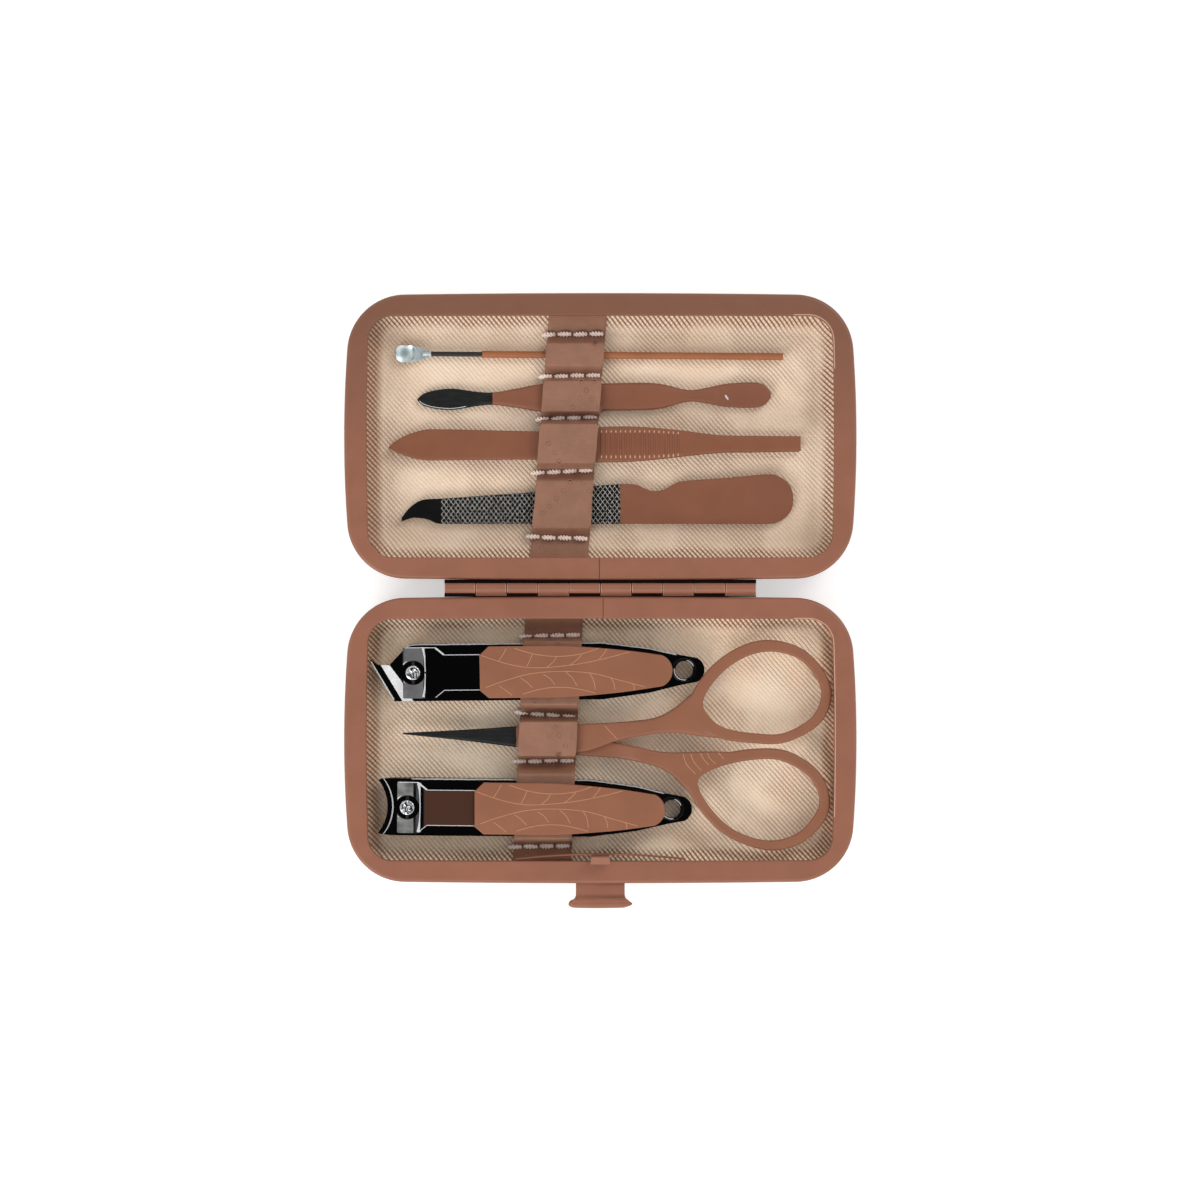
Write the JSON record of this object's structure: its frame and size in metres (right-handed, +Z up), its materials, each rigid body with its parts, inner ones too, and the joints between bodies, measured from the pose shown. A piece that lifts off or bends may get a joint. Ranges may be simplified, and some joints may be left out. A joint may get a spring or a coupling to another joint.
{
  "type": "manicure set case",
  "caption": "Manicure set in a framed hard case lying open flat: lid tools and tray clippers and scissors held by stitched strap loops, piano hinge and push catch",
  "frame": {"origin": "centre of the tray's flat underside", "axes": "+X along the hinge to the right, +Y from the tray to the lid, +Z up out of the open case"},
  "size_m": [0.11, 0.1322, 0.0154],
  "materials": {
    "case_leather": "matt grain",
    "case_board": "matt",
    "lining": "matt, fine diagonal ridges",
    "strap_leather": "matt grain",
    "steel": "bright",
    "black_chrome": "dark mirror",
    "tool_paint": "matt",
    "case_paint": "satin"
  },
  "bodies": {
    "tray": {"tray_cover": "case_leather", "tray_shell": "case_board", "tray_frame": "case_paint", "tray_lining": "lining", "tray_strap": "strap_leather", "hinge_tray_leaf": "case_paint", "hinge_pin": "steel"},
    "lid": {"lid_cover": "case_leather", "lid_shell": "case_board", "lid_frame": "case_paint", "lid_lining": "lining", "lid_strap": "strap_leather", "hinge_lid_leaf": "case_paint"},
    "catch": {"catch_tab": "case_paint", "catch_spring": "case_paint"},
    "ear_pick": {"ear_pick": "steel"},
    "cuticle_pusher": {"cuticle_pusher": "tool_paint"},
    "nail_file": {"nail_file": "tool_paint"},
    "tweezers": {"tweezers_lower_arm": "tool_paint"},
    "tweezers_upper": {"tweezers_upper_arm": "tool_paint"},
    "toenail_clipper": {"toenail_lower_arm": "black_chrome", "toenail_post": "steel", "toenail_rivet": "black_chrome"},
    "toenail_upper": {"toenail_upper_arm": "black_chrome"},
    "toenail_lever": {"toenail_lever": "black_chrome", "toenail_grip": "tool_paint", "toenail_cross_pin": "steel"},
    "fingernail_clipper": {"fingernail_lower_arm": "black_chrome", "fingernail_post": "steel", "fingernail_rivet": "black_chrome"},
    "fingernail_upper": {"fingernail_upper_arm": "black_chrome"},
    "fingernail_lever": {"fingernail_lever": "black_chrome", "fingernail_grip": "tool_paint", "fingernail_cross_pin": "steel"},
    "scissors": {"scissors_lower_half": "tool_paint", "scissors_screw": "steel"},
    "scissors_upper": {"scissors_upper_half": "tool_paint"}
  },
  "joints": [
    {"name": "lid_hinge", "type": "hinge", "parent": "tray", "child": "lid", "pos_m": [0, 0.03255, 0.0116], "axis": [1, 0, 0], "range_deg": [0, 180]},
    {"name": "catch_press", "type": "slide", "parent": "tray", "child": "catch", "axis": [0, 1, 0], "range_m": [0, 0.0012], "stiffness_N_per_m": 1500, "springref_m": -0.0012},
    {"name": "ear_pick_slide", "type": "slide", "parent": "lid", "child": "ear_pick", "axis": [1, 0, 0], "range_m": [-0.0025, 0.007]},
    {"name": "cuticle_pusher_slide", "type": "slide", "parent": "lid", "child": "cuticle_pusher", "axis": [1, 0, 0], "range_m": [-0.007, 0.009]},
    {"name": "tweezers_slide", "type": "slide", "parent": "lid", "child": "tweezers", "axis": [1, 0, 0], "range_m": [-0.0015, 0.0035]},
    {"name": "tweezers_squeeze", "type": "hinge", "parent": "tweezers", "child": "tweezers_upper", "pos_m": [-0.036, 0.0636, 0.0051], "axis": [0, 1, 0], "range_deg": [0, 2.2], "stiffness_Nm_per_rad": 4},
    {"name": "nail_file_slide", "type": "slide", "parent": "lid", "child": "nail_file", "axis": [1, 0, 0], "range_m": [-0.004, 0.005]},
    {"name": "toenail_clipper_slide", "type": "slide", "parent": "tray", "child": "toenail_clipper", "axis": [1, 0, 0], "range_m": [0, 0.002]},
    {"name": "toenail_squeeze", "type": "hinge", "parent": "toenail_clipper", "child": "toenail_upper", "pos_m": [0.0145, 0.01488, 0.0054], "axis": [-0.0091, 1, 0], "range_deg": [-1, 0], "stiffness_Nm_per_rad": 8},
    {"name": "toenail_lever_lift", "type": "hinge", "parent": "toenail_clipper", "child": "toenail_lever", "pos_m": [-0.04015, 0.01439, 0.0105], "axis": [-0.0091, 1, 0], "range_deg": [-25, 0]},
    {"name": "fingernail_clipper_slide", "type": "slide", "parent": "tray", "child": "fingernail_clipper", "axis": [1, 0, 0], "range_m": [0, 0.002]},
    {"name": "fingernail_squeeze", "type": "hinge", "parent": "fingernail_clipper", "child": "fingernail_upper", "pos_m": [0.0118, -0.01503, 0.0054], "axis": [0.0105, 0.9999, 0], "range_deg": [-1, 0], "stiffness_Nm_per_rad": 8},
    {"name": "fingernail_lever_lift", "type": "hinge", "parent": "fingernail_clipper", "child": "fingernail_lever", "pos_m": [-0.0414, -0.01447, 0.0105], "axis": [0.0105, 0.9999, 0], "range_deg": [-25, 0]},
    {"name": "scissors_slide", "type": "slide", "parent": "tray", "child": "scissors", "axis": [1, 0, 0], "range_m": [-0.003, 0]},
    {"name": "scissors_open", "type": "hinge", "parent": "scissors", "child": "scissors_upper", "pos_m": [-0.0095, 0.0002, 0.00725], "axis": [-0.0314, 0, 0.9995], "range_deg": [0, 5]}
  ]
}
